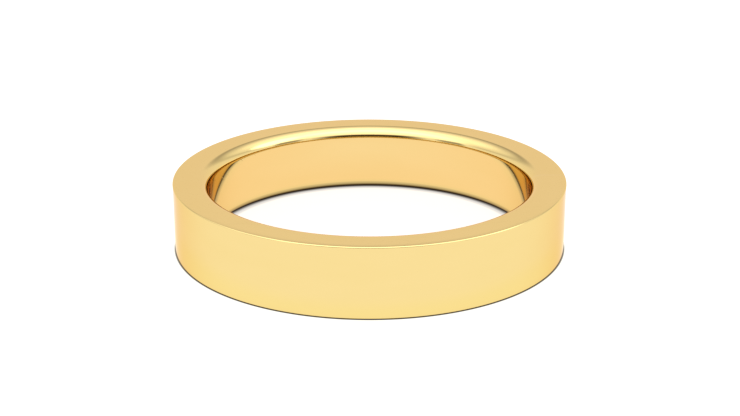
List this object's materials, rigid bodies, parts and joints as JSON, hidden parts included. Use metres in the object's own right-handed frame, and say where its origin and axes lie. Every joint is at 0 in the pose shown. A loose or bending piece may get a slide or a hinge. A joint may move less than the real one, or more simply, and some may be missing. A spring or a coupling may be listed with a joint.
{
  "type": "wedding band",
  "caption": "Plain polished yellow gold band, flat outside and on its sides, with rounded inner edges; a ring worn on a finger.",
  "frame": {"origin": "on the bore's axis, in the plane of the lower side face that the band lies on", "axes": "+Z along the bore, up from the face that the band lies on; +X from the bore's centre to the soldered joint"},
  "size_m": [0.0226, 0.0226, 0.004],
  "materials": {
    "yellow_gold": "polished",
    "gold_solder": "polished"
  },
  "bodies": {
    "root": {"shank": "yellow_gold", "solder_seam": "gold_solder"}
  },
  "joints": []
}
